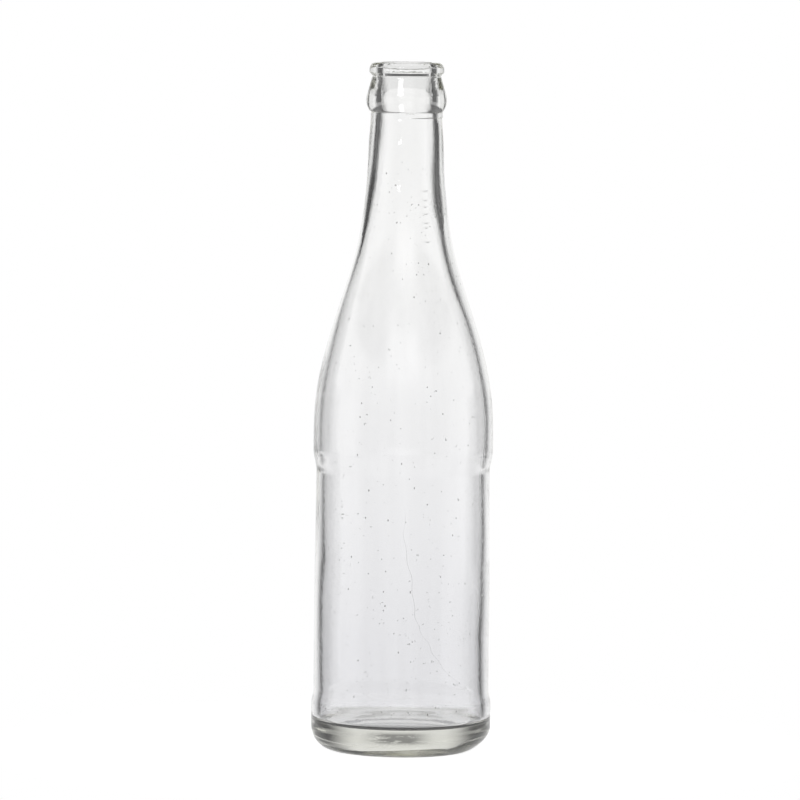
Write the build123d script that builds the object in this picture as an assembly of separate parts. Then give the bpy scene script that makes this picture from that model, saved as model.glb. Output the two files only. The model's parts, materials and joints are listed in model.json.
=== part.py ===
from build123d import *
import os

# A machine-made clear glass soda bottle with a crown finish, standing on its bearing ring.
# Millimetres, +Z up along the bottle's axis, origin at the centre of the ring it stands on.
# The bottle is one piece of glass. Each node is one region of it, as a closed ring of wall, and
# neighbouring regions meet face to face.

# --- Heights up the bottle -----------------------------------------------------------------
total_height = 245.0
mould_parting_z = 227.4    # neck ring mould above, blow mould below
neck_bottom_z = 186.0
panel_top_z = 100.0        # the label panel's straight wall ends, and the step begins
step_top_z = 107.0         # the raised ring above the label panel, the widest part
panel_bottom_z = 21.5
heel_band_top_z = 16.3
floor_cut_z = 10.5         # where the base ends and the heel's ring of wall begins

# --- Outer radii ---------------------------------------------------------------------------
belly_r = 31.95
panel_top_r = 30.85
panel_middle_r = 31.2      # the label panel's wall is very slightly barrelled
panel_bottom_r = 31.2
heel_r = 32.05
heel_corner_r = 8.5
neck_top_r = 12.65

# --- Base ----------------------------------------------------------------------------------
bearing_ring_width = 1.8
push_up_height = 2.4
floor_edge_z = 10.3        # inner floor where it meets the wall's corner
floor_corner_r = 2.0
floor_flat_r = 18.6        # the shallow dish in the floor's middle
floor_flat_z = 9.6
floor_rise = 0.05          # the dish's rise at the centre, over the push-up
floor_centre_z = floor_flat_z + floor_rise

# --- Crown finish --------------------------------------------------------------------------
lip_r = 13.25
lip_band_bottom_z = 241.4
lip_outer_round = 2.4
lip_inner_round = 1.4
groove_r = 12.15           # the narrow waist under the lip bead
groove_z = 240.2
transfer_ring_r = 14.35
transfer_ring_z = 231.6
locking_cone_foot_r = 13.9
locking_cone_foot_z = 234.1
bore_r = 8.95
bore_bottom_z = 233.0
bulge_r = 9.45             # the blown wall behind the transfer ring
bulge_z = 228.6

# --- Inner wall ----------------------------------------------------------------------------
inner_heel_r = 29.0
inner_panel_r = 28.2
inner_belly_r = 29.4
inner_step_bottom_z = 99.0
inner_step_top_z = 108.0

# Points that the swept curves of the shoulder and neck pass through: (radius, height)
shoulder_outer = [(31.4, 125.0), (28.0, 143.0), (22.6, 160.7), (17.35, 178.5)]
neck_outer = [(14.5, 196.2), (13.65, 206.5), (13.25, 217.0)]
shoulder_inner = [(28.75, 125.0), (25.5, 143.0), (20.1, 160.7), (14.7, 178.5)]
neck_inner = [(11.55, 196.2), (10.1, 213.0)]

UP = (0, 1)
DOWN = (0, -1)


def underside():
    """Push-up, bearing ring and heel corner, from the axis out to the heel band."""
    ring_outer = heel_r - heel_corner_r
    ring_inner = ring_outer - bearing_ring_width
    push_up = Spline((0, push_up_height), (ring_inner, 0), tangents=[(1, 0), (1, -0.35)])
    ring = Line((ring_inner, 0), (ring_outer, 0))
    corner = RadiusArc((ring_outer, 0), (heel_r, heel_corner_r), -heel_corner_r)
    return [push_up, ring, corner]


def outer_wall():
    """Heel band, label panel, raised ring, shoulder and neck, going up."""
    band = Line((heel_r, heel_corner_r), (heel_r, heel_band_top_z))
    flare = Spline((heel_r, heel_band_top_z), (panel_bottom_r, panel_bottom_z), tangents=[UP, UP])
    panel_middle_z = (panel_bottom_z + panel_top_z) / 2
    panel = ThreePointArc(
        (panel_bottom_r, panel_bottom_z), (panel_middle_r, panel_middle_z), (panel_top_r, panel_top_z)
    )
    step = Spline((panel_top_r, panel_top_z), (belly_r, step_top_z), tangents=[UP, UP])
    sweep = Spline(
        (belly_r, step_top_z), *shoulder_outer, *neck_outer, (neck_top_r, mould_parting_z), tangents=[UP, UP]
    )
    return [band, flare, panel, step, sweep]


def finish_outside():
    """Transfer ring, locking cone, groove and lip bead, going up to the sealing ring."""
    lip_shoulder_z = total_height - lip_outer_round
    ring_foot = Spline(
        (neck_top_r, mould_parting_z), (transfer_ring_r, transfer_ring_z), tangents=[(0.8, 0.6), UP]
    )
    ring_head = Spline(
        (transfer_ring_r, transfer_ring_z),
        (locking_cone_foot_r, locking_cone_foot_z),
        tangents=[UP, (groove_r - locking_cone_foot_r, groove_z - locking_cone_foot_z)],
    )
    cone = Line((locking_cone_foot_r, locking_cone_foot_z), (groove_r, groove_z))
    undercut = Line((groove_r, groove_z), (lip_r, lip_band_bottom_z))
    bead = Line((lip_r, lip_band_bottom_z), (lip_r, lip_shoulder_z))
    round_over = RadiusArc((lip_r, lip_shoulder_z), (lip_r - lip_outer_round, total_height), -lip_outer_round)
    return [ring_foot, ring_head, cone, undercut, bead, round_over]


def inner_wall():
    """Sealing ring, mouth bore and the inside of the wall, going down to the floor's centre."""
    corner_top_z = floor_edge_z + floor_corner_r
    floor_edge_r = inner_heel_r - floor_corner_r
    seal = Line((lip_r - lip_outer_round, total_height), (bore_r + lip_inner_round, total_height))
    round_in = RadiusArc(
        (bore_r + lip_inner_round, total_height), (bore_r, total_height - lip_inner_round), -lip_inner_round
    )
    bore = Line((bore_r, total_height - lip_inner_round), (bore_r, bore_bottom_z))
    bulge = Spline((bore_r, bore_bottom_z), (bulge_r, bulge_z), tangents=[DOWN, DOWN])
    sweep = Spline(
        (bulge_r, bulge_z),
        *reversed(neck_inner),
        *reversed(shoulder_inner),
        (inner_belly_r, inner_step_top_z),
        tangents=[DOWN, DOWN],
    )
    step = Spline(
        (inner_belly_r, inner_step_top_z), (inner_panel_r, inner_step_bottom_z), tangents=[DOWN, DOWN]
    )
    wall = Line((inner_panel_r, inner_step_bottom_z), (inner_panel_r, panel_bottom_z))
    flare = Spline((inner_panel_r, panel_bottom_z), (inner_heel_r, heel_band_top_z), tangents=[DOWN, DOWN])
    heel_wall = Line((inner_heel_r, heel_band_top_z), (inner_heel_r, corner_top_z))
    corner = RadiusArc((inner_heel_r, corner_top_z), (floor_edge_r, floor_edge_z), floor_corner_r)
    slope = Spline((floor_edge_r, floor_edge_z), (floor_flat_r, floor_flat_z), tangents=[(-1, 0), (-1, 0)])
    dish = Spline((floor_flat_r, floor_flat_z), (0, floor_centre_z), tangents=[(-1, 0), (-1, 0)])
    return [seal, round_in, bore, bulge, sweep, step, wall, flare, heel_wall, corner, slope, dish]


def glass_section():
    """The whole wall's section, right of the axis, with +Y as the bottle's height."""
    axis_line = Line((0, floor_centre_z), (0, push_up_height))
    outline = underside() + outer_wall() + finish_outside() + inner_wall() + [axis_line]
    return make_face(Wire([edge for curve in outline for edge in curve.edges()]))


def region(section, bottom_z, top_z):
    """The part of the glass between two heights, turned about the axis."""
    width = 2 * belly_r
    band = Pos(0, (bottom_z + top_z) / 2) * Rectangle(2 * width, top_z - bottom_z)
    return revolve(Plane.XZ * (section & band), axis=Axis.Z)


def main():
    os.makedirs("parts", exist_ok=True)
    section = glass_section()
    cuts = [0, floor_cut_z, panel_bottom_z, panel_top_z, neck_bottom_z, mould_parting_z, total_height]
    names = ["base", "heel", "label_panel", "shoulder", "neck", "crown_finish"]
    for name, bottom_z, top_z in zip(names, cuts, cuts[1:]):
        export_step(region(section, bottom_z, top_z), f"parts/{name}.step")


main()
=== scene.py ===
import json
import math
import random

import bpy
import numpy as np
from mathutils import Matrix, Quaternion, Vector


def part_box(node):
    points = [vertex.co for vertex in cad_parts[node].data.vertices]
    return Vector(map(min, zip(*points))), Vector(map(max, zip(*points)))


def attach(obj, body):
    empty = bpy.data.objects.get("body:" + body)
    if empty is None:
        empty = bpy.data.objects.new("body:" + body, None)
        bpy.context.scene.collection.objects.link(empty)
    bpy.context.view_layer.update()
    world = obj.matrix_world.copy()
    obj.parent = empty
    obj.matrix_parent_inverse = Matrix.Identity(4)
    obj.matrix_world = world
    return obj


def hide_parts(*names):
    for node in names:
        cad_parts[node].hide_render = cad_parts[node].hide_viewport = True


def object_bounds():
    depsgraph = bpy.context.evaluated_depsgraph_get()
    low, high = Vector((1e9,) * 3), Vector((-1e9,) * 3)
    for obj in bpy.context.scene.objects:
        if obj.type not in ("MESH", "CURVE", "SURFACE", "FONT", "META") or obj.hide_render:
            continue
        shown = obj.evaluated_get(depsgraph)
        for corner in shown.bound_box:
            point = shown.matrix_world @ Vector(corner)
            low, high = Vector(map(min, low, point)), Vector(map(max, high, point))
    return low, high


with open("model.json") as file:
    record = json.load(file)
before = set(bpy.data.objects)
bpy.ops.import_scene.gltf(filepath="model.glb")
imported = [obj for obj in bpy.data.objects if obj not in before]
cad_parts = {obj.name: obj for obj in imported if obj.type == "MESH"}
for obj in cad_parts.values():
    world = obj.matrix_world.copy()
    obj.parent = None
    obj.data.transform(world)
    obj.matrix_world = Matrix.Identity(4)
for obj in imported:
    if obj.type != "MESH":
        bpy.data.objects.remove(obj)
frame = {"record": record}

# The look of a clear glass soda bottle. Its outline is kept in millimetres, as (radius, height),
# and becomes metres when the mesh is made. Heights and radii that a CAD node's box gives are read
# from it, and the rest are the shape's own.

MM = 0.001
CAD_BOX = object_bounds()


def node_top(node):
    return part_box(node)[1].z / MM


def node_radius(node):
    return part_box(node)[1].x / MM


# --- Sizes read from the frame --------------------------------------------------------------
TOTAL_HEIGHT = node_top("crown_finish")
PARTING_Z = node_top("neck")
PANEL_TOP_Z = node_top("label_panel")
PANEL_BOTTOM_Z = node_top("heel")
HEEL_R = node_radius("heel")
BELLY_R = node_radius("shoulder")
PANEL_R = node_radius("label_panel")
RING_R = node_radius("crown_finish")
MOUNTS = {mount["name"]: mount["dims"] for mount in frame["record"]["mounts"]}
BORE_R = MOUNTS["mouth_bore"]["r_mm"]
LIP_R = MOUNTS["crown_seat"]["r_mm"]

# --- Sizes of the shape itself --------------------------------------------------------------
HEEL_CORNER_R = 8.5
HEEL_BAND_TOP_Z = 16.3
BEARING_RING_WIDTH = 1.8
PUSH_UP_HEIGHT = 2.4
FLOOR_Z = 9.6
FLOOR_RISE = 0.05
FLOOR_FLAT_R = 18.6
FLOOR_EDGE_Z = 10.3
FLOOR_CORNER_R = 2.0
INNER_PANEL_R = 28.2
INNER_HEEL_R = 29.0
INNER_BELLY_R = 29.4
PANEL_TOP_R = 30.85
STEP_TOP_Z = 107.0
NECK_TOP_R = 12.65
SHOULDER_OUTER = [(31.4, 125.0), (28.0, 143.0), (22.6, 160.7), (17.35, 178.5)]
NECK_OUTER = [(14.5, 196.2), (13.65, 206.5), (13.25, 217.0)]
SHOULDER_INNER = [(28.75, 125.0), (25.5, 143.0), (20.1, 160.7), (14.7, 178.5)]
NECK_INNER = [(11.55, 196.2), (10.1, 213.0)]
LIP_OUTER_ROUND = 2.4
LIP_INNER_ROUND = 1.4
LIP_BAND_BOTTOM_Z = 241.4
PUSH_UP_END = (1, -0.35)            # the way in which the underside's curve meets the bearing ring
RING_START = (0.8, 0.6)             # and in which the transfer ring's curve leaves the neck
GROOVE = (12.15, 240.2)
CONE_FOOT = (13.9, 234.1)
RING_Z = 231.6
BORE_BOTTOM_Z = 233.0
BULGE = (9.45, 228.6)
INNER_STEP_TOP_Z = 108.0
INNER_STEP_BOTTOM_Z = 99.0
LOWER_PARTING_Z = PARTING_Z - 1.9
VENT_HEIGHTS = [199.9, 196.7, 194.4, 191.9, 188.7, 187.1, 182.1]

# Where the rows of points stand closer: half the height of the band, and the gap between rows
VENT_ROWS = (0.5, 0.11)
PARTING_ROWS = (0.7, 0.12)
LOWER_PARTING_ROWS = (0.6, 0.12)

SEAM_AZIMUTH = math.radians(-62)   # where the mould's halves meet, and again half a turn away
COLUMNS = 136
RANDOM_SEED = 7

UP = (0, 1)
DOWN = (0, -1)
OUTWARD = (1, 0)
INWARD = (-1, 0)


# --- Outline --------------------------------------------------------------------------------
def line(a, b, step):
    """Points from a towards b, without b."""
    a, b = np.array(a, float), np.array(b, float)
    count = max(1, round(np.linalg.norm(b - a) / step))
    t = np.arange(count)[:, None] / count
    return a + t * (b - a)


def arc(centre, radius, start_deg, end_deg, step):
    """Points round a circle, without the last."""
    count = max(3, round(radius * math.radians(abs(end_deg - start_deg)) / step))
    a = np.radians(start_deg + (end_deg - start_deg) * np.arange(count) / count)
    return np.stack([centre[0] + radius * np.cos(a), centre[1] + radius * np.sin(a)], 1)


def curve(points, start, end, step, fine=()):
    """A smooth curve through points that leaves along start and arrives along end, without its
    last point. fine lists (height, half width, step) bands that get closer points."""
    p = np.array(points, float)
    span = np.linalg.norm(np.diff(p, axis=0), axis=1)
    n = len(p)
    a = np.eye(n)
    rhs = np.zeros((n, 2))
    rhs[0] = np.array(start, float) / np.linalg.norm(start)
    rhs[-1] = np.array(end, float) / np.linalg.norm(end)
    for i in range(1, n - 1):
        before, after = 1 / span[i - 1], 1 / span[i]
        a[i, i - 1 : i + 2] = before, 2 * (before + after), after
        rhs[i] = 3 * ((p[i] - p[i - 1]) * before**2 + (p[i + 1] - p[i]) * after**2)
    slope = np.linalg.solve(a, rhs)
    out = []
    for i in range(n - 1):
        t = np.linspace(0, 1, 200, endpoint=False)[:, None]
        h = span[i]
        out.append(
            (1 + 2 * t) * (1 - t) ** 2 * p[i]
            + t * (1 - t) ** 2 * h * slope[i]
            + t * t * (3 - 2 * t) * p[i + 1]
            + t * t * (t - 1) * h * slope[i + 1]
        )
    dense = np.concatenate(out + [p[-1:]])
    return respaced(dense, step, fine)


def respaced(dense, step, fine):
    """Points along a dense polyline, one step apart, or closer inside the fine bands."""
    gaps = np.linalg.norm(np.diff(dense, axis=0), axis=1)
    middle = (dense[1:, 1] + dense[:-1, 1]) / 2
    wanted = np.full(len(gaps), step)
    for height, half, small in fine:
        wanted = np.where(np.abs(middle - height) < half, small, wanted)
    steps = np.concatenate([[0], np.cumsum(gaps / wanted)])
    count = max(2, round(steps[-1]))
    at = np.linspace(0, steps[-1], count, endpoint=False)
    return np.stack([np.interp(at, steps, dense[:, k]) for k in (0, 1)], 1)


def outline():
    """The wall's whole section, from the underside's centre up the outside, over the lip and
    down the inside to the floor's centre, and a mark on each point: 0 outside, 1 inside. The
    last number of each stretch is the gap between its points."""
    ring_out = HEEL_R - HEEL_CORNER_R
    ring_in = ring_out - BEARING_RING_WIDTH
    floor_edge_r = INNER_HEEL_R - FLOOR_CORNER_R
    corner_top_z = FLOOR_EDGE_Z + FLOOR_CORNER_R
    lip_top_r = LIP_R - LIP_OUTER_ROUND
    lip_side_z = TOTAL_HEIGHT - LIP_OUTER_ROUND
    mouth_r = BORE_R + LIP_INNER_ROUND
    mouth_z = TOTAL_HEIGHT - LIP_INNER_ROUND
    cone_slope = (GROOVE[0] - CONE_FOOT[0], GROOVE[1] - CONE_FOOT[1])
    belly, panel_top = (BELLY_R, STEP_TOP_Z), (PANEL_TOP_R, PANEL_TOP_Z)
    panel_bottom = (PANEL_R, PANEL_BOTTOM_Z)
    panel_middle = (PANEL_R, (PANEL_BOTTOM_Z + PANEL_TOP_Z) / 2)
    heel_top, neck_top, ring = (HEEL_R, HEEL_BAND_TOP_Z), (NECK_TOP_R, PARTING_Z), (RING_R, RING_Z)
    inner_belly = (INNER_BELLY_R, INNER_STEP_TOP_Z)
    inner_step = (INNER_PANEL_R, INNER_STEP_BOTTOM_Z)
    inner_panel = (INNER_PANEL_R, PANEL_BOTTOM_Z)
    inner_heel = (INNER_HEEL_R, HEEL_BAND_TOP_Z)
    vents = [(z, *VENT_ROWS) for z in VENT_HEIGHTS]
    parting = [(PARTING_Z, *PARTING_ROWS), (LOWER_PARTING_Z, *LOWER_PARTING_ROWS)]
    outside = [
        curve([(0, PUSH_UP_HEIGHT), (ring_in, 0)], OUTWARD, PUSH_UP_END, 1.1),
        line((ring_in, 0), (ring_out, 0), 0.6),
        arc((ring_out, HEEL_CORNER_R), HEEL_CORNER_R, -90, 0, 0.5),
        line((HEEL_R, HEEL_CORNER_R), heel_top, 1.0),
        curve([heel_top, panel_bottom], UP, UP, 0.4),
        curve([panel_bottom, panel_middle, panel_top], UP, UP, 1.3),
        curve([panel_top, belly], UP, UP, 0.35),
        curve([belly, *SHOULDER_OUTER, *NECK_OUTER, neck_top], UP, UP, 1.0, vents + parting),
        curve([neck_top, ring], RING_START, UP, 0.35, parting),
        curve([ring, CONE_FOOT], UP, cone_slope, 0.35),
        line(CONE_FOOT, GROOVE, 0.6),
        line(GROOVE, (LIP_R, LIP_BAND_BOTTOM_Z), 0.25),
        line((LIP_R, LIP_BAND_BOTTOM_Z), (LIP_R, lip_side_z), 0.3),
        arc((lip_top_r, lip_side_z), LIP_OUTER_ROUND, 0, 90, 0.3),
        line((lip_top_r, TOTAL_HEIGHT), (mouth_r, TOTAL_HEIGHT), 0.2),
    ]
    inside = [
        arc((mouth_r, mouth_z), LIP_INNER_ROUND, 90, 180, 0.25),
        line((BORE_R, mouth_z), (BORE_R, BORE_BOTTOM_Z), 0.7),
        curve([(BORE_R, BORE_BOTTOM_Z), BULGE], DOWN, DOWN, 0.6),
        curve([BULGE, *NECK_INNER[::-1], *SHOULDER_INNER[::-1], inner_belly], DOWN, DOWN, 1.0),
        curve([inner_belly, inner_step], DOWN, DOWN, 0.7),
        line(inner_step, inner_panel, 1.2),
        curve([inner_panel, inner_heel], DOWN, DOWN, 0.5),
        line(inner_heel, (INNER_HEEL_R, corner_top_z), 0.7),
        arc((floor_edge_r, corner_top_z), FLOOR_CORNER_R, 0, -90, 0.25),
        curve([(floor_edge_r, FLOOR_EDGE_Z), (FLOOR_FLAT_R, FLOOR_Z)], INWARD, INWARD, 0.6),
        curve([(FLOOR_FLAT_R, FLOOR_Z), (0, FLOOR_Z + FLOOR_RISE)], INWARD, INWARD, 1.1),
        np.array([[0, FLOOR_Z + FLOOR_RISE]]),
    ]
    out, inn = np.concatenate(outside), np.concatenate(inside)
    return np.concatenate([out, inn]), np.concatenate([np.zeros(len(out)), np.ones(len(inn))])


# --- Unevenness -----------------------------------------------------------------------------
# A RIPPLE or a WAVE is about how high it stands, and its WAVES are how many are added up, their
# longest and shortest wavelength up the wall, and how many go round at the most. A FADE is four
# heights: nothing at the first, whole from the second to the third, and nothing at the fourth.
SKIN_RIPPLE = 0.004
SKIN_WAVES = (30, 60, 14, 7)
SKIN_FADE = (18, 24, 238, 240)
SEAM_RIDGE = (0.05, 0.3)            # how high it stands, and its half width
SEAM_FADE = (14, 18, 224, 225)
VENT_RIDGE = (0.27, 0.20)
VENT_LENGTHS = (1.0, 0.6)           # the shortest half length, and how much longer some are
VENT_CHANGE = 7                     # how fast the length changes from one tick to the next
PARTING_GROOVE = (0.16, 0.22)
PARTING_LUMP = (0.16, 0.40)         # what stands in the groove's place where it is broken
PARTING_LUMP_Z = PARTING_Z + 0.05
PARTING_BREAK = (math.radians(-84), 0.30, 0.75)      # its direction, half width and share
COLLAR_HEIGHT = 0.28                # the step between the two parting lines
COLLAR_SIDE = (-0.1, 1.15)          # its direction and half width, in radians
COLLAR_FADE = (LOWER_PARTING_Z - 0.1, LOWER_PARTING_Z + 0.1, PARTING_Z, PARTING_Z + 0.5)
THICKNESS_WAVE = 0.10
THICKNESS_WAVES = (10, 160, 70, 3)
INSIDE_WAVE = 0.02
INSIDE_WAVES = (40, 60, 22, 8)
GRAIN_RIPPLE = 0.0015
GRAIN_WAVES = (80, 7, 2.4, 40)
INSIDE_FADE = (FLOOR_Z + 2, FLOOR_Z + 14, 222, 234)
INSIDE_RADII = (4, 8)               # nothing within the first, and whole beyond the second
HEEL_LIFT = 1.1
HEEL_LIFT_SIDE = math.radians(-40)
HEEL_LIFT_TURN = (-0.1, 0.9)        # cosines of the angle from its side: nothing, whole
HEEL_LIFT_RADII = (23.5, 29)        # nothing, whole
HEEL_LIFT_HEIGHTS = (3, 10)         # whole, nothing
FLOOR_RINGS = [(0.42, 21.6, 2.0), (-0.30, 15.5, 2.6)]      # (height, radius, half width)
FLOOR_RING_SWELL = 0.25             # half of what they lose on their two weak sides
FLOOR_RING_TURN = 0.6               # sets where those sides are, in radians
FLOOR_RING_TOP = (FLOOR_EDGE_Z + 0.05, FLOOR_EDGE_Z + 0.5)      # whole, nothing
SEAM_CROWDING = 0.3                 # how much closer the columns stand at the seams

# (height, how far the blown hollow stands towards +X there)
BORE_LEAN = [
    (18, 0.0), (40, -0.5), (68, 0.36), (125, -0.18),
    (161, -0.7), (191, -0.18), (207, 0.0), (218, 0.27),
]


def ripples(azimuth, height, waves, longest, shortest, around, seed):
    """Seeded smooth noise over the wall, about 1 high, that closes on itself round the bottle.
    Wavelengths up the wall run from longest to shortest, and up to `around` waves go round."""
    rng = random.Random(seed)
    total = np.zeros(np.broadcast(azimuth, height).shape)
    for _ in range(waves):
        k = rng.randint(0, around)
        length = longest * (shortest / longest) ** rng.random()
        phase, other = rng.uniform(0, 2 * math.pi), rng.uniform(0, 2 * math.pi)
        total += np.cos(k * azimuth + phase) * np.cos(2 * math.pi * height / length + other)
    return total * 2 / math.sqrt(waves)


def bell(x, width):
    return np.exp(-((x / width) ** 2))


def near(azimuth, centre):
    """The angle from centre, between minus and plus half a turn."""
    return (azimuth - centre + math.pi) % (2 * math.pi) - math.pi


def rising(x, low, high):
    t = np.clip((x - low) / (high - low), 0, 1)
    return t * t * (3 - 2 * t)


def between(z, start, full, last, end):
    """1 from full to last, and 0 outside start and end."""
    return rising(z, start, full) * (1 - rising(z, last, end))


def uneven_outside(azimuth, r, z):
    """How far the moulded outside stands from its outline, in millimetres."""
    d = SKIN_RIPPLE * ripples(azimuth, z, *SKIN_WAVES, RANDOM_SEED) * between(z, *SKIN_FADE)
    ridge = SEAM_RIDGE[0] * bell(near(2 * azimuth, 2 * SEAM_AZIMUTH) * r / 2, SEAM_RIDGE[1])
    d += ridge * between(z, *SEAM_FADE)
    for height in VENT_HEIGHTS:
        length = VENT_LENGTHS[0] + VENT_LENGTHS[1] * math.sin(height * VENT_CHANGE) ** 2
        along = bell(near(azimuth, SEAM_AZIMUTH) * r, length)
        d += VENT_RIDGE[0] * bell(z - height, VENT_RIDGE[1]) * along
    way, width, share = PARTING_BREAK
    whole = 1 - share * bell(near(azimuth, way), width)
    d -= PARTING_GROOVE[0] * bell(z - PARTING_Z, PARTING_GROOVE[1]) * whole
    d += PARTING_LUMP[0] * bell(z - PARTING_LUMP_Z, PARTING_LUMP[1]) * (1 - whole)
    collar = COLLAR_HEIGHT * between(z, *COLLAR_FADE)
    d += collar * bell(near(azimuth, COLLAR_SIDE[0]), COLLAR_SIDE[1])
    return d


def uneven_inside(azimuth, r, z):
    """How far the blown inside stands from its outline, in millimetres."""
    thick = THICKNESS_WAVE * ripples(azimuth, z, *THICKNESS_WAVES, RANDOM_SEED + 1)
    wave = INSIDE_WAVE * ripples(azimuth, z, *INSIDE_WAVES, RANDOM_SEED + 2)
    grain = GRAIN_RIPPLE * ripples(azimuth, z, *GRAIN_WAVES, RANDOM_SEED + 3)
    lean = np.interp(z, *zip(*BORE_LEAN)) * np.cos(azimuth)
    return (thick + wave + grain + lean) * between(z, *INSIDE_FADE) * rising(r, *INSIDE_RADII)


def heel_lift(azimuth, r, z):
    """How far the heel's corner is raised. It is rounder and higher at the front right."""
    outer = rising(r, *HEEL_LIFT_RADII) * (1 - rising(z, *HEEL_LIFT_HEIGHTS))
    return HEEL_LIFT * outer * rising(np.cos(azimuth - HEEL_LIFT_SIDE), *HEEL_LIFT_TURN)


def floor_wave(azimuth, r, z):
    """Rings in the inner floor, where the soft glass settled."""
    rings = sum(height * bell(r - radius, width) for height, radius, width in FLOOR_RINGS)
    swell = 1 - FLOOR_RING_SWELL + FLOOR_RING_SWELL * np.cos(2 * azimuth + FLOOR_RING_TURN)
    return rings * swell * (1 - rising(z, *FLOOR_RING_TOP))


def column_directions():
    """Column directions, closer together at the mould's seams."""
    u = np.arange(COLUMNS) / COLUMNS * 2 * math.pi
    return u - SEAM_CROWDING * np.sin(2 * (u - SEAM_AZIMUTH))


def make_glass():
    """The whole bottle as one closed skin."""
    rows, inner = outline()
    r = rows[:, :1].copy()
    z = rows[:, 1:].copy()
    inner = inner[:, None]
    azimuth = column_directions()[None, :]
    grow = np.where(inner > 0.5, uneven_inside(azimuth, r, z), uneven_outside(azimuth, r, z))
    radius = np.clip(r + grow * (r > 0), 0, None)
    radius = np.where(inner > 0.5, radius, np.minimum(radius, outer_limit(z)))
    height = z + np.where(inner > 0.5, floor_wave(azimuth, r, z), heel_lift(azimuth, r, z))
    x, y = radius * np.cos(azimuth), radius * np.sin(azimuth)
    co = np.stack([x, y, height], 2)
    body = co[1:-1].reshape(-1, 3)
    low, high = np.array([[0, 0, rows[0, 1]]]), np.array([[0, 0, rows[-1, 1]]])
    points = np.concatenate([body, low, high]) * MM
    return skin("glass_bottle", points, len(rows) - 2)


def outer_limit(z):
    """No outside point goes past the CAD's own widest radius."""
    return np.where(z < PANEL_TOP_Z, HEEL_R, np.where(z < PARTING_Z, BELLY_R, RING_R))


def skin(name, points, row_count):
    """A smooth closed mesh from rows of columns, with a fan at each end."""
    i = np.arange(row_count - 1)[:, None]
    j = np.arange(COLUMNS)[None, :]
    k = (j + 1) % COLUMNS
    a, b = i * COLUMNS + j, i * COLUMNS + k
    c, d = (i + 1) * COLUMNS + k, (i + 1) * COLUMNS + j
    quads = np.stack([a, b, c, d], 2).reshape(-1, 4)
    low, high = row_count * COLUMNS, row_count * COLUMNS + 1
    last = (row_count - 1) * COLUMNS
    faces = [tuple(q) for q in quads.tolist()]
    for n in range(COLUMNS):
        m = (n + 1) % COLUMNS
        faces.append((low, m, n))
        faces.append((high, last + n, last + m))
    mesh = bpy.data.meshes.new(name)
    mesh.from_pydata(points.tolist(), [], faces)
    mesh.shade_smooth()
    piece = bpy.data.objects.new(name, mesh)
    bpy.context.scene.collection.objects.link(piece)
    return piece


SEED_COUNT = 900
SEED_SIZES = (0.085, 0.21)         # half widths of the bubbles, in millimetres
SEED_HEIGHTS = (16, 210)
LOW_BIAS = 1.6                     # above 1, more of them low down
SMALL_BIAS = 2.5                   # above 1, more of them small
SEED_DEPTHS = (0.35, 0.65)         # share of the wall's thickness, from the inside
SEED_STRETCH = (1.0, 2.2)          # how much taller than wide
UPRIGHT = (14, 215)                # between these heights the wall is upright, or nearly


def make_seeds():
    """Small gas bubbles caught in the wall, as hollows, and one thread of drawn air."""
    rng = random.Random(RANDOM_SEED + 4)
    rows, inner = outline()
    out, inn = rows[inner < 0.5], rows[inner > 0.5][::-1]
    verts, faces = [], []
    for _ in range(SEED_COUNT):
        z = SEED_HEIGHTS[0] + (SEED_HEIGHTS[1] - SEED_HEIGHTS[0]) * rng.random() ** LOW_BIAS
        size = SEED_SIZES[0] + (SEED_SIZES[1] - SEED_SIZES[0]) * rng.random() ** SMALL_BIAS
        wall_out = np.interp(z, *side_of(out))
        wall_in = np.interp(z, *side_of(inn))
        turn = rng.uniform(0, 2 * math.pi)
        reach = wall_in + (wall_out - wall_in) * rng.uniform(*SEED_DEPTHS)
        reach += np.interp(z, *zip(*BORE_LEAN)) / 2 * math.cos(turn)
        middle = np.array([reach * math.cos(turn), reach * math.sin(turn), z])
        bubble(verts, faces, middle, size, size * rng.uniform(*SEED_STRETCH))
    hair(verts, faces, out, inn)
    mesh = bpy.data.meshes.new("seeds")
    mesh.from_pydata([tuple(v * MM) for v in verts], [], faces)
    mesh.shade_smooth()
    seeds = bpy.data.objects.new("seeds", mesh)
    bpy.context.scene.collection.objects.link(seeds)
    return seeds


# (x, height) along a thread of air that the drawn glass stretched out, in the front wall
HAIR_PATH = [
    (0.4, 90.0), (0.9, 78.0), (2.6, 66.0), (4.4, 54.0),
    (6.2, 46.0), (10.4, 38.6), (15.6, 31.0), (24.0, 21.0),
]
HAIR_R = 0.03
HAIR_RINGS = 60
HAIR_SIDES = 6
HAIR_WANDER = 0.6
HAIR_BENDS = (5.1, 2.3)             # how often it wanders, per stretch of the path


def hair(verts, faces, out, inn):
    """Adds the thread as a thin tube in the middle of the wall, with its skin facing inwards."""
    path = np.array(HAIR_PATH)
    along = np.linspace(0, len(path) - 1, HAIR_RINGS)
    x = np.interp(along, np.arange(len(path)), path[:, 0])
    z = np.interp(along, np.arange(len(path)), path[:, 1])
    x = x + HAIR_WANDER * np.sin(along * HAIR_BENDS[0]) * np.sin(along * HAIR_BENDS[1])
    radius = (np.interp(z, *side_of(out)) + np.interp(z, *side_of(inn))) / 2
    y = -np.sqrt(np.maximum(radius**2 - x**2, 0))
    first = len(verts)
    for n in range(HAIR_RINGS):
        thin = HAIR_R * math.sin(math.pi * n / (HAIR_RINGS - 1)) ** 0.5
        for j in range(HAIR_SIDES):
            turn = 2 * math.pi * j / HAIR_SIDES
            verts.append(np.array([x[n] + thin * math.cos(turn), y[n] + thin * math.sin(turn), z[n]]))
    for n in range(HAIR_RINGS - 1):
        a, b = first + n * HAIR_SIDES, first + (n + 1) * HAIR_SIDES
        for j in range(HAIR_SIDES):
            k = (j + 1) % HAIR_SIDES
            faces.append((a + j, a + k, b + k, b + j))


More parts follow.
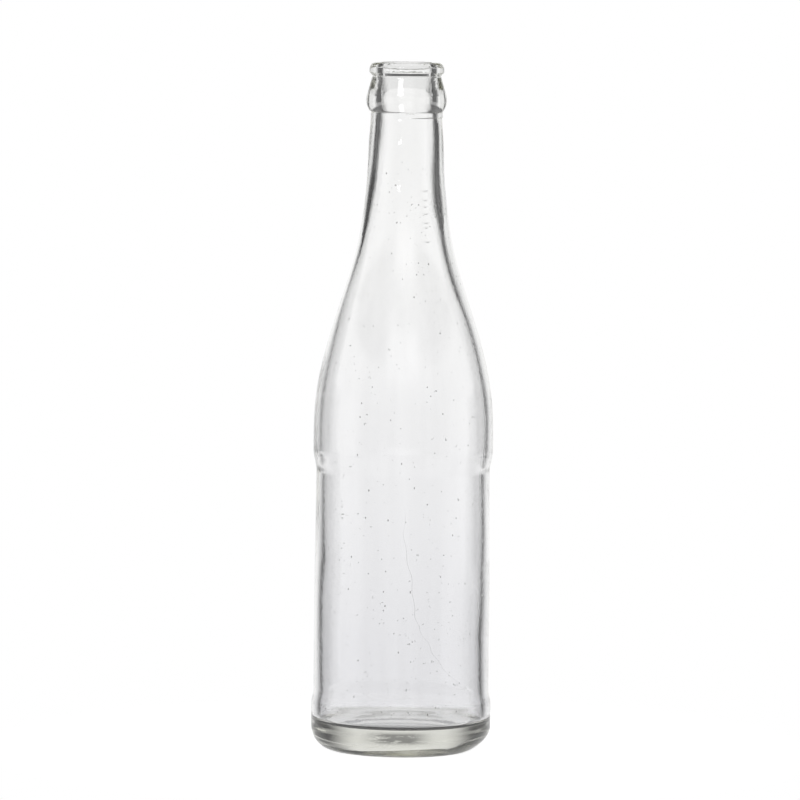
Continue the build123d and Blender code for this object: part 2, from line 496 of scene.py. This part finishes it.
def side_of(points):
    """(heights, radii) of the wall's upright part, for interpolation."""
    upright = points[(points[:, 1] > UPRIGHT[0]) & (points[:, 1] < UPRIGHT[1])]
    return upright[:, 1], upright[:, 0]


def bubble(verts, faces, middle, half_width, half_height, columns=6, rings=4):
    """Adds one closed egg whose skin faces inwards, for a hollow in the glass."""
    first = len(verts)
    for i in range(1, rings + 1):
        a = math.pi * i / (rings + 1)
        for j in range(columns):
            b = 2 * math.pi * j / columns
            way = np.array([math.sin(a) * math.cos(b), math.sin(a) * math.sin(b), -math.cos(a)])
            verts.append(middle + way * (half_width, half_width, half_height))
    bottom, top = len(verts), len(verts) + 1
    verts.append(middle - (0, 0, half_height))
    verts.append(middle + (0, 0, half_height))
    for j in range(columns):
        k = (j + 1) % columns
        for i in range(rings - 1):
            low, high = first + i * columns, first + (i + 1) * columns
            faces.append((low + j, high + j, high + k, low + k))
        faces.append((bottom, first + j, first + k))
        last = first + (rings - 1) * columns
        faces.append((top, last + k, last + j))


# --- Materials ------------------------------------------------------------------------------
def new_material(name):
    material = bpy.data.materials.new(name)
    material.use_nodes = True
    tree = material.node_tree
    tree.nodes.clear()
    return material, tree


# A NOISE is its scale along x, y and z per metre, its detail and its roughness. A RANGE is the
# noise's two levels between which the look changes.
GLASS_IOR = 1.52
GLASS_DEPTH_TINT = (0.80, 0.80, 0.72)
GLASS_DEPTH_DENSITY = 11.0
# Painted shade: these tints darken the glass toward the bottom, where the wall looks on darker
# surroundings, and most at the heel. The body's faint lavender is the glass's own.
FOOT_TINT_AND_SHADE = (0.96, 0.96, 0.95)
HEEL_TINT_AND_SHADE = (0.80, 0.80, 0.78)      # painted shade, darkest over the foot's thick, worn glass
BODY_TINT_AND_SHADE = (0.92, 0.92, 0.935)
PANEL_TINT_AND_SHADE = (0.96, 0.96, 0.97)
NECK_TINT = (1.0, 1.0, 1.0)
GLASS_TINT_AND_PAINTED_SHADE_STOPS = [
    (0.0015, FOOT_TINT_AND_SHADE), (0.005, HEEL_TINT_AND_SHADE), (0.009, HEEL_TINT_AND_SHADE),
    (0.012, BODY_TINT_AND_SHADE), (0.035, BODY_TINT_AND_SHADE), (0.08, PANEL_TINT_AND_SHADE), (0.17, NECK_TINT),
]
CORD_NOISE = ((220, 220, 12), 2.0, 0.4)
CORD_RANGE = (0.3, 0.7)
CORD_TINTS = (0.975, 1.0)
SCUFF_NOISE = ((900, 900, 900), 3.0, 0.6)
SCUFF_RANGE = (0.3, 0.7)
SCUFF_SHARES = (0.6, 1.2)
SCUFF_ROUGHNESS = 0.05
SCUFF_TOP = (0.006, 0.009)
GRAIN_NOISE = ((1100, 1100, 700), 1.0, 0.5)
GRAIN_STRENGTH = 0.3
GRAIN_DEPTH = 0.00018
GRAIN_FADE = (0.215, 0.235)         # it is stronger above, in the finish
GRAIN_LEVELS = (0.25, 0.45)
BUBBLE_TINTS = ((0.25, 0.25, 0.25), (0.6, 0.6, 0.6))
BUBBLE_NOISE = ((90, 90, 90), 1.0, 0.5)
BUBBLE_RANGE = (0.4, 0.6)

# A dark streaky patch on the heel's front: its x, its height and its half sizes
SMEAR_X, SMEAR_Z = -0.001, 0.0078
SMEAR_HALF_WIDTH, SMEAR_HALF_HEIGHT = 0.0145, 0.0029
SMEAR_WHOLE = (0.3, 0.4)            # the share of each that isn't faded
SMEAR_FRONT = (-0.012, -0.008)      # it fades out between these y
SMEAR_NOISE = ((170, 170, 900), 6.0, 0.75)
SMEAR_RANGE = (0.30, 0.50)
PATCH_AND_PAINTED_SHADE_TINT = (0.06, 0.06, 0.06)
SMEAR_MOST = 0.95

# Painted shade: a thin opaque dark line in the front half of the floor's corner, standing in for the
# dark line that refraction shows there
PAINTED_SHADE_LINE_Z = 0.0110
PAINTED_SHADE_LINE_HALF = 0.0007               # half its height
PAINTED_SHADE_LINE_WHOLE = 0.6                 # the share of that which isn't faded
PAINTED_SHADE_LINE_MOST = 0.95
PAINTED_SHADE_LINE_REACH = ((INNER_HEEL_R - 3) * MM, (INNER_HEEL_R + 1) * MM)      # its radii
PAINTED_SHADE_LINE_FRONT = (-0.010, 0.010)     # it fades out between these y


def glass_material():
    """Clear flint glass: cords of slightly different glass that run down the wall, a trace of
    grey in the depth, a fire-polished skin, and a scuffed heel. The wall's tint is darkened toward
    the bottom by painted shade. A dark streaky patch is on the heel's front, and a thin opaque dark
    line of painted shade is in the front of the floor's corner."""
    material, tree = new_material("flint_glass")
    nodes, links = tree.nodes, tree.links
    where = nodes.new("ShaderNodeTexCoord")
    split = nodes.new("ShaderNodeSeparateXYZ")
    links.new(where.outputs["Object"], split.inputs[0])

    # The painted shade line in the floor's corner and the dark patch on the heel's front darken the
    # base colour, and where the line is the glass is also made opaque.
    painted_shade_line = painted_shade_line_mask(nodes, links, split)
    darkening = math_node(nodes, links, "MAXIMUM", smear_mask(nodes, links, where, split), painted_shade_line)
    patch_and_painted_shade = nodes.new("ShaderNodeMix")
    patch_and_painted_shade.data_type = "RGBA"
    patch_and_painted_shade.inputs[7].default_value = (*PATCH_AND_PAINTED_SHADE_TINT, 1)
    links.new(darkening, patch_and_painted_shade.inputs[0])
    links.new(wall_tint_and_painted_shade(nodes, links, where, split.outputs["Z"]), patch_and_painted_shade.inputs[6])

    shader = nodes.new("ShaderNodeBsdfPrincipled")
    shader.inputs["IOR"].default_value = GLASS_IOR
    links.new(math_node(nodes, links, "SUBTRACT", 1.0, painted_shade_line), shader.inputs["Transmission Weight"])
    links.new(patch_and_painted_shade.outputs[2], shader.inputs["Base Color"])
    links.new(scuffs(nodes, links, where, split.outputs["Z"]), shader.inputs["Roughness"])
    links.new(grain_bump(nodes, links, where, split.outputs["Z"]), shader.inputs["Normal"])
    depth = nodes.new("ShaderNodeVolumeAbsorption")
    depth.inputs["Color"].default_value = (*GLASS_DEPTH_TINT, 1)
    depth.inputs["Density"].default_value = GLASS_DEPTH_DENSITY
    out = nodes.new("ShaderNodeOutputMaterial")
    links.new(shader.outputs[0], out.inputs["Surface"])
    links.new(depth.outputs[0], out.inputs["Volume"])
    return material


def wall_tint_and_painted_shade(nodes, links, where, height):
    """The glass's tint, with painted shade that darkens it toward the bottom and most at the heel,
    and faint streaks down the wall.
    """
    tint_and_shade = nodes.new("ShaderNodeValToRGB")
    links.new(math_node(nodes, links, "DIVIDE", height, TOTAL_HEIGHT * MM), tint_and_shade.inputs[0])
    steps = tint_and_shade.color_ramp.elements
    while len(steps) < len(GLASS_TINT_AND_PAINTED_SHADE_STOPS):
        steps.new(0.5)
    for step, (level, tint) in zip(steps, GLASS_TINT_AND_PAINTED_SHADE_STOPS):
        step.position = level / (TOTAL_HEIGHT * MM)
        step.color = (*tint, 1)
    cords = noise(nodes, links, where, *CORD_NOISE)
    streak = nodes.new("ShaderNodeMix")
    streak.data_type = "RGBA"
    streak.blend_type = "MULTIPLY"
    streak.inputs[0].default_value = 1.0
    links.new(tint_and_shade.outputs["Color"], streak.inputs[6])
    links.new(smooth_range(nodes, links, cords, *CORD_RANGE, *CORD_TINTS), streak.inputs[7])
    return streak.outputs[2]


def smear_mask(nodes, links, where, split):
    """How dark the patch on the heel's front is, from 0 to SMEAR_MOST."""
    darkening = noise(nodes, links, where, *SMEAR_NOISE)
    darkening = smooth_range(nodes, links, darkening, *SMEAR_RANGE, 0.0, SMEAR_MOST)
    whole_width, whole_height = SMEAR_HALF_WIDTH * SMEAR_WHOLE[0], SMEAR_HALF_HEIGHT * SMEAR_WHOLE[1]
    beside = distance_from(nodes, links, split.outputs["X"], SMEAR_X)
    above = distance_from(nodes, links, split.outputs["Z"], SMEAR_Z)
    for mask in (
        smooth_range(nodes, links, beside, whole_width, SMEAR_HALF_WIDTH, 1.0, 0.0),
        smooth_range(nodes, links, above, whole_height, SMEAR_HALF_HEIGHT, 1.0, 0.0),
        smooth_range(nodes, links, split.outputs["Y"], *SMEAR_FRONT, 1.0, 0.0),
    ):
        darkening = math_node(nodes, links, "MULTIPLY", darkening, mask)
    return darkening


def painted_shade_line_mask(nodes, links, split):
    """How dark the painted shade line in the floor's corner is, from 0 to its darkest share."""
    across = nodes.new("ShaderNodeCombineXYZ")
    links.new(split.outputs["X"], across.inputs[0])
    links.new(split.outputs["Y"], across.inputs[1])
    radius = nodes.new("ShaderNodeVectorMath")
    radius.operation = "LENGTH"
    links.new(across.outputs[0], radius.inputs[0])
    corner = distance_from(nodes, links, split.outputs["Z"], PAINTED_SHADE_LINE_Z)
    painted_shade_line = smooth_range(
        nodes, links, corner, PAINTED_SHADE_LINE_HALF * PAINTED_SHADE_LINE_WHOLE, PAINTED_SHADE_LINE_HALF, PAINTED_SHADE_LINE_MOST, 0.0
    )
    for mask in (
        math_node(nodes, links, "GREATER_THAN", radius.outputs["Value"], PAINTED_SHADE_LINE_REACH[0]),
        math_node(nodes, links, "LESS_THAN", radius.outputs["Value"], PAINTED_SHADE_LINE_REACH[1]),
        smooth_range(nodes, links, split.outputs["Y"], *PAINTED_SHADE_LINE_FRONT, 1.0, 0.0),
    ):
        painted_shade_line = math_node(nodes, links, "MULTIPLY", painted_shade_line, mask)
    return painted_shade_line


def scuffs(nodes, links, where, height):
    """Roughness: a little wear at the foot, and none above SCUFF_TOP."""
    stipple = noise(nodes, links, where, *SCUFF_NOISE)
    worn = smooth_range(nodes, links, height, *SCUFF_TOP, SCUFF_ROUGHNESS, 0.0)
    patches = smooth_range(nodes, links, stipple, *SCUFF_RANGE, *SCUFF_SHARES)
    return math_node(nodes, links, "MULTIPLY", worn, patches)


def grain_bump(nodes, links, where, height):
    """A faint grain in the skin."""
    grain = noise(nodes, links, where, *GRAIN_NOISE)
    level = smooth_range(nodes, links, height, *GRAIN_FADE, *GRAIN_LEVELS)
    bump = nodes.new("ShaderNodeBump")
    bump.inputs["Strength"].default_value = GRAIN_STRENGTH
    bump.inputs["Distance"].default_value = GRAIN_DEPTH
    links.new(math_node(nodes, links, "MULTIPLY", grain, level), bump.inputs["Height"])
    return bump.outputs[0]


def bubble_material():
    """The skin of a gas bubble: the same glass, met from within the wall and tinted grey."""
    material, tree = new_material("gas_bubble")
    nodes, links = tree.nodes, tree.links
    where = nodes.new("ShaderNodeTexCoord")
    spots = noise(nodes, links, where, *BUBBLE_NOISE)
    tint = nodes.new("ShaderNodeMix")
    tint.data_type = "RGBA"
    tint.inputs[6].default_value = (*BUBBLE_TINTS[0], 1)
    tint.inputs[7].default_value = (*BUBBLE_TINTS[1], 1)
    links.new(smooth_range(nodes, links, spots, *BUBBLE_RANGE), tint.inputs[0])
    shader = nodes.new("ShaderNodeBsdfPrincipled")
    shader.inputs["IOR"].default_value = GLASS_IOR
    shader.inputs["Transmission Weight"].default_value = 1.0
    shader.inputs["Roughness"].default_value = 0.0
    links.new(tint.outputs[2], shader.inputs["Base Color"])
    out = nodes.new("ShaderNodeOutputMaterial")
    links.new(shader.outputs[0], out.inputs["Surface"])
    return material


def math_node(nodes, links, operation, a, b=None, c=None):
    """One Math node, whose inputs are numbers or other nodes' outputs."""
    node = nodes.new("ShaderNodeMath")
    node.operation = operation
    for socket, value in zip(node.inputs, (a, b, c)):
        if value is None:
            continue
        if isinstance(value, (int, float)):
            socket.default_value = value
        else:
            links.new(value, socket)
    return node.outputs[0]


def smooth_range(nodes, links, value, low, high, to_low=0.0, to_high=1.0):
    """Goes smoothly from to_low to to_high while value goes from low to high."""
    node = nodes.new("ShaderNodeMapRange")
    node.interpolation_type = "SMOOTHSTEP"
    links.new(value, node.inputs["Value"])
    for name, number in (
        ("From Min", low), ("From Max", high), ("To Min", to_low), ("To Max", to_high),
    ):
        node.inputs[name].default_value = number
    return node.outputs[0]


def distance_from(nodes, links, value, middle):
    """How far value is from middle, without its sign."""
    return math_node(nodes, links, "ABSOLUTE", math_node(nodes, links, "ADD", value, -middle))


def noise(nodes, links, where, scale, detail, roughness):
    """Noise in the object's own space, with its own scale along each axis, per metre."""
    stretch = nodes.new("ShaderNodeMapping")
    stretch.inputs["Scale"].default_value = scale
    links.new(where.outputs["Object"], stretch.inputs["Vector"])
    texture = nodes.new("ShaderNodeTexNoise")
    texture.inputs["Scale"].default_value = 1.0
    texture.inputs["Detail"].default_value = detail
    texture.inputs["Roughness"].default_value = roughness
    links.new(stretch.outputs[0], texture.inputs["Vector"])
    return texture.outputs["Fac"]


def floor_material():
    """A white light table with a painted shadow under the bottle, where its colour and glow are
    dimmed.
    It glows a little away from it and fades into the white studio. The camera itself sees it as
    bright as the studio, or nearly."""
    material, tree = new_material("pale_floor")
    nodes, links = tree.nodes, tree.links
    where = nodes.new("ShaderNodeTexCoord")
    distance = nodes.new("ShaderNodeVectorMath")
    distance.operation = "LENGTH"
    links.new(where.outputs["Object"], distance.inputs[0])
    away = distance.outputs["Value"]
    surface = nodes.new("ShaderNodeBsdfDiffuse")
    # Painted shadow: the table's colour and glow are dimmed under the bottle.
    links.new(smooth_range(nodes, links, away, *SHADE_EDGE, *SHADE_TINTS), surface.inputs["Color"])
    glow = nodes.new("ShaderNodeEmission")
    near_glow = smooth_range(nodes, links, away, *SHADE_EDGE, *GLOW_LEVELS)
    far_glow = smooth_range(nodes, links, away, *FAR_EDGE, 0.0, FAR_GLOW)
    through = math_node(nodes, links, "ADD", near_glow, far_glow)
    path = nodes.new("ShaderNodeLightPath")
    direct = math_node(nodes, links, "MULTIPLY", path.outputs["Is Camera Ray"], GLOW_DIRECT)
    links.new(math_node(nodes, links, "MAXIMUM", through, direct), glow.inputs["Strength"])
    lit = nodes.new("ShaderNodeAddShader")
    links.new(surface.outputs[0], lit.inputs[0])
    links.new(glow.outputs[0], lit.inputs[1])
    clear = nodes.new("ShaderNodeBsdfTransparent")
    fade = nodes.new("ShaderNodeMixShader")
    links.new(smooth_range(nodes, links, away, *FLOOR_FADE), fade.inputs[0])
    links.new(lit.outputs[0], fade.inputs[1])
    links.new(clear.outputs[0], fade.inputs[2])
    out = nodes.new("ShaderNodeOutputMaterial")
    links.new(fade.outputs[0], out.inputs["Surface"])
    return material


# --- Stage ----------------------------------------------------------------------------------
FLOOR_RADIUS = 0.16
FLOOR_SIDES = 128
FLOOR_GAP = 0.0001               # below the bottle's foot
FLOOR_FADE = (0.06, 0.155)       # from opaque to clear, in metres from the bottle's axis
SHADE_EDGE = (0.016, 0.024)      # inside this the table's colour and glow are dimmed, a painted shadow under the bottle
SHADE_TINTS = (0.3, 0.6)
GLOW_LEVELS = (0.2, 0.66)
FAR_EDGE = (0.045, 0.080)
FAR_GLOW = 0.08
GLOW_DIRECT = 0.93


def make_floor():
    """A round white table top under the bottle."""
    ring = []
    for n in range(FLOOR_SIDES):
        turn = 2 * math.pi * n / FLOOR_SIDES
        ring.append((FLOOR_RADIUS * math.cos(turn), FLOOR_RADIUS * math.sin(turn), 0))
    mesh = bpy.data.meshes.new("floor")
    mesh.from_pydata(ring, [], [tuple(range(FLOOR_SIDES))])
    floor = bpy.data.objects.new("floor", mesh)
    bpy.context.scene.collection.objects.link(floor)
    floor.location.z = CAD_BOX[0].z - FLOOR_GAP
    mesh.materials.append(floor_material())


WINDOW = 0.97             # the lit backdrop, and the windows at both sides
CLOTH = 0.05              # dark cloth between them
CLOTH_AT = (20, 46, 66, 74)             # degrees from straight behind: edge, dark, dark, edge
CLOTH_TOP = (0.21, 0.26)  # above this it is thinner
CLOTH_TOP_SHARE = 0.75
FRONT = 0.75              # the side that the camera stands on
FRONT_FROM = (105, 150)
FRONT_CLOTH = 0.65
FRONT_CLOTH_AT = (112, 132, 140, 165)
CEILING = 0.08
CEILING_FROM = (0.33, 0.39)
OVERHEAD = 1.2
OVERHEAD_FROM = (0.80, 0.92)
FILL = 1.3                # a broad soft light above the camera
FILL_FROM = (140, 165)
FILL_HEIGHTS = (0.18, 0.34, 0.45, 0.60)
SWEEP = 0.85
SWEEP_TOP = (-0.20, -0.175)


def make_world():
    """A white studio: a lit backdrop and two side windows with dark cloth between them, a dark
    ceiling and the sweep of the white table below. The camera itself sees plain white. Heights
    are the z of the direction, from -1 to 1."""
    world = bpy.data.worlds.new("studio")
    bpy.context.scene.world = world
    world.use_nodes = True
    nodes, links = world.node_tree.nodes, world.node_tree.links
    nodes.clear()
    where = nodes.new("ShaderNodeTexCoord")
    split = nodes.new("ShaderNodeSeparateXYZ")
    links.new(where.outputs["Generated"], split.inputs[0])
    x, y, z = split.outputs

    def m(op, a, b=None, c=None):
        return math_node(nodes, links, op, a, b, c)

    def ramp(value, low, high, to_low=0.0, to_high=1.0):
        return smooth_range(nodes, links, value, low, high, to_low, to_high)

    def mix(a, b, share):
        return m("ADD", m("MULTIPLY", a, m("SUBTRACT", 1.0, share)), m("MULTIPLY", b, share))

    def turn_ramp(low, high):
        return ramp(away, math.radians(low), math.radians(high))

    def dip(edge_in, dark_in, dark_out, edge_out):
        """1 where the cloth hangs, between angles in degrees from the backdrop's middle."""
        outer = ramp(away, math.radians(dark_out), math.radians(edge_out), 1.0, 0.0)
        return m("MULTIPLY", turn_ramp(edge_in, dark_in), outer)

    away = m("ABSOLUTE", m("ARCTAN2", m("MULTIPLY", x, -1.0), y))    # angle from straight behind
    cloth = m("MULTIPLY", dip(*CLOTH_AT), ramp(z, *CLOTH_TOP, 1.0, CLOTH_TOP_SHARE))
    rear = mix(mix(WINDOW, FRONT, turn_ramp(*FRONT_FROM)), CLOTH, cloth)
    low = mix(SWEEP, rear, ramp(z, *SWEEP_TOP))
    walls = mix(low, mix(rear, FRONT_CLOTH, dip(*FRONT_CLOTH_AT)), ramp(z, *SWEEP_TOP))
    ceiling = mix(CEILING, OVERHEAD, ramp(z, *OVERHEAD_FROM))
    strength = mix(walls, ceiling, ramp(z, *CEILING_FROM))
    fill = m("MULTIPLY", turn_ramp(*FILL_FROM), ramp(z, *FILL_HEIGHTS[:2]))
    fill = m("MULTIPLY", fill, ramp(z, *FILL_HEIGHTS[2:], 1.0, 0.0))
    strength = mix(strength, FILL, fill)

    path = nodes.new("ShaderNodeLightPath")
    studio = nodes.new("ShaderNodeBackground")
    studio.inputs["Color"].default_value = (1, 1, 1, 1)
    links.new(strength, studio.inputs["Strength"])
    plain = nodes.new("ShaderNodeBackground")
    plain.inputs["Color"].default_value = (1, 1, 1, 1)
    plain.inputs["Strength"].default_value = 1.0
    choose = nodes.new("ShaderNodeMixShader")
    links.new(path.outputs["Is Camera Ray"], choose.inputs[0])
    links.new(studio.outputs[0], choose.inputs[1])
    links.new(plain.outputs[0], choose.inputs[2])
    out = nodes.new("ShaderNodeOutputWorld")
    links.new(choose.outputs[0], out.inputs["Surface"])


LIGHT_DISTANCE = 0.35
LIGHT_AZIMUTH = math.radians(160)
KEY_SIZE = (0.09, 0.07)
KEY_RISE = math.radians(29.5)
KEY_RADIANCE = 5.0
GLINT_SIZE = (0.055, 0.005)
GLINT_RISE = math.radians(4.2)
GLINT_RADIANCE = 16.0
GLINT_SPREAD = math.radians(16)


def make_lights():
    """Two softboxes up and to the left of the camera: one that the finish catches, and a
    sliver that the neck's front catches."""
    cone_middle = (CONE_FOOT[1] + GROOVE[1]) / 2 * MM
    neck_front = NECK_OUTER[2][1] * MM
    softbox("key_softbox", KEY_SIZE, KEY_RISE, KEY_RADIANCE, cone_middle)
    softbox("glint_softbox", GLINT_SIZE, GLINT_RISE, GLINT_RADIANCE, neck_front, GLINT_SPREAD)


def softbox(name, size, rise, radiance, height, spread=math.pi):
    """An area light at LIGHT_DISTANCE from the bottle's axis, turned to a point on it. spread is
    the whole angle that it shines into, as through a honeycomb grid."""
    data = bpy.data.lights.new(name, "AREA")
    data.shape = "RECTANGLE"
    data.size, data.size_y = size
    data.energy = radiance * math.pi * size[0] * size[1]
    if spread < math.pi:
        data.spread = spread
        data.energy *= 1 - spread / 2 / math.tan(spread / 2)   # the grid would brighten it
    light = bpy.data.objects.new(name, data)
    bpy.context.scene.collection.objects.link(light)
    way = Vector((
        -math.sin(LIGHT_AZIMUTH) * math.cos(rise),
        math.cos(LIGHT_AZIMUTH) * math.cos(rise),
        math.sin(rise),
    ))
    light.location = Vector((0, 0, height)) + way * LIGHT_DISTANCE
    light.rotation_mode = "QUATERNION"
    light.rotation_quaternion = (-way).to_track_quat("-Z", "Y")
    light.visible_camera = False


CARD_DISTANCE = 0.09
CARD_HEIGHTS = (0.192, 0.222)
CARD_FADES = [math.radians(v) for v in (20, 46, 66, 76)]     # from straight behind, as CLOTH_AT
CARD_PANELS = 16
CARD_STRENGTH = 0.05


def make_cards():
    """Two small curved black cards behind the finish, which its cone bends light down to. They
    fade out at their ends, and the camera sees them only through the glass."""
    black = card_material()
    start, end = CARD_FADES[0], CARD_FADES[3]
    panels = [(2 * n, 2 * n + 2, 2 * n + 3, 2 * n + 1) for n in range(CARD_PANELS)]
    for side in (-1, 1):
        corners = []
        for n in range(CARD_PANELS + 1):
            turn = side * (start + (end - start) * n / CARD_PANELS)
            x, y = CARD_DISTANCE * math.sin(turn), CARD_DISTANCE * math.cos(turn)
            corners += [(x, y, z) for z in CARD_HEIGHTS]
        mesh = bpy.data.meshes.new("black_card")
        mesh.from_pydata(corners, [], panels)
        mesh.materials.append(black)
        card = bpy.data.objects.new("black_card", mesh)
        bpy.context.scene.collection.objects.link(card)
        card.visible_camera = False
        card.visible_diffuse = False
        card.visible_shadow = False


def card_material():
    """Black in the middle of the card's length, and clear at its ends."""
    material, tree = new_material("black_card")
    nodes, links = tree.nodes, tree.links
    where = nodes.new("ShaderNodeTexCoord")
    split = nodes.new("ShaderNodeSeparateXYZ")
    links.new(where.outputs["Object"], split.inputs[0])
    turn = math_node(nodes, links, "ARCTAN2", split.outputs["X"], split.outputs["Y"])
    turn = math_node(nodes, links, "ABSOLUTE", turn)
    cover = math_node(
        nodes, links, "MULTIPLY",
        smooth_range(nodes, links, turn, *CARD_FADES[:2]),
        smooth_range(nodes, links, turn, *CARD_FADES[2:], 1.0, 0.0),
    )
    dull = nodes.new("ShaderNodeEmission")
    dull.inputs["Strength"].default_value = CARD_STRENGTH
    clear = nodes.new("ShaderNodeBsdfTransparent")
    blend = nodes.new("ShaderNodeMixShader")
    links.new(cover, blend.inputs[0])
    links.new(clear.outputs[0], blend.inputs[1])
    links.new(dull.outputs[0], blend.inputs[2])
    out = nodes.new("ShaderNodeOutputMaterial")
    links.new(blend.outputs[0], out.inputs["Surface"])
    return material


# --- Camera ---------------------------------------------------------------------------------
CAMERA_DISTANCE = 2.2
CAMERA_HEIGHT = 0.2989
CAMERA_DIP = math.radians(4.52)
CAMERA_ROLL = math.radians(0.55)
CAMERA_SIDE = -0.00132
LENS = 279.2
BOUNCES = 40


def make_camera():
    data = bpy.data.cameras.new("camera")
    data.sensor_width = 36
    data.lens = LENS
    data.clip_start, data.clip_end = 0.1, 50
    camera = bpy.data.objects.new("camera", data)
    bpy.context.scene.collection.objects.link(camera)
    camera.location = (CAMERA_SIDE, -CAMERA_DISTANCE, CAMERA_HEIGHT)
    look = Vector((0, math.cos(CAMERA_DIP), -math.sin(CAMERA_DIP)))
    camera.rotation_mode = "QUATERNION"
    camera.rotation_quaternion = look.to_track_quat("-Z", "Y") @ Quaternion((0, 0, 1), CAMERA_ROLL)
    bpy.context.scene.camera = camera


def set_look():
    """Plain colours, and enough bounces for light to cross both walls and the seeds."""
    scene = bpy.context.scene
    scene.view_settings.view_transform = "Standard"
    cycles = scene.cycles
    cycles.max_bounces = BOUNCES
    cycles.transmission_bounces = BOUNCES
    cycles.glossy_bounces = BOUNCES
    cycles.transparent_max_bounces = BOUNCES


def main():
    make_camera()
    set_look()
    make_world()
    make_lights()
    make_floor()
    make_cards()
    glass = make_glass()
    glass.data.materials.append(glass_material())
    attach(glass, "root")
    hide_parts(*[entry["node"] for entry in frame["record"]["subparts"]])
    seeds = make_seeds()
    seeds.data.materials.append(bubble_material())
    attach(seeds, "root")


main()
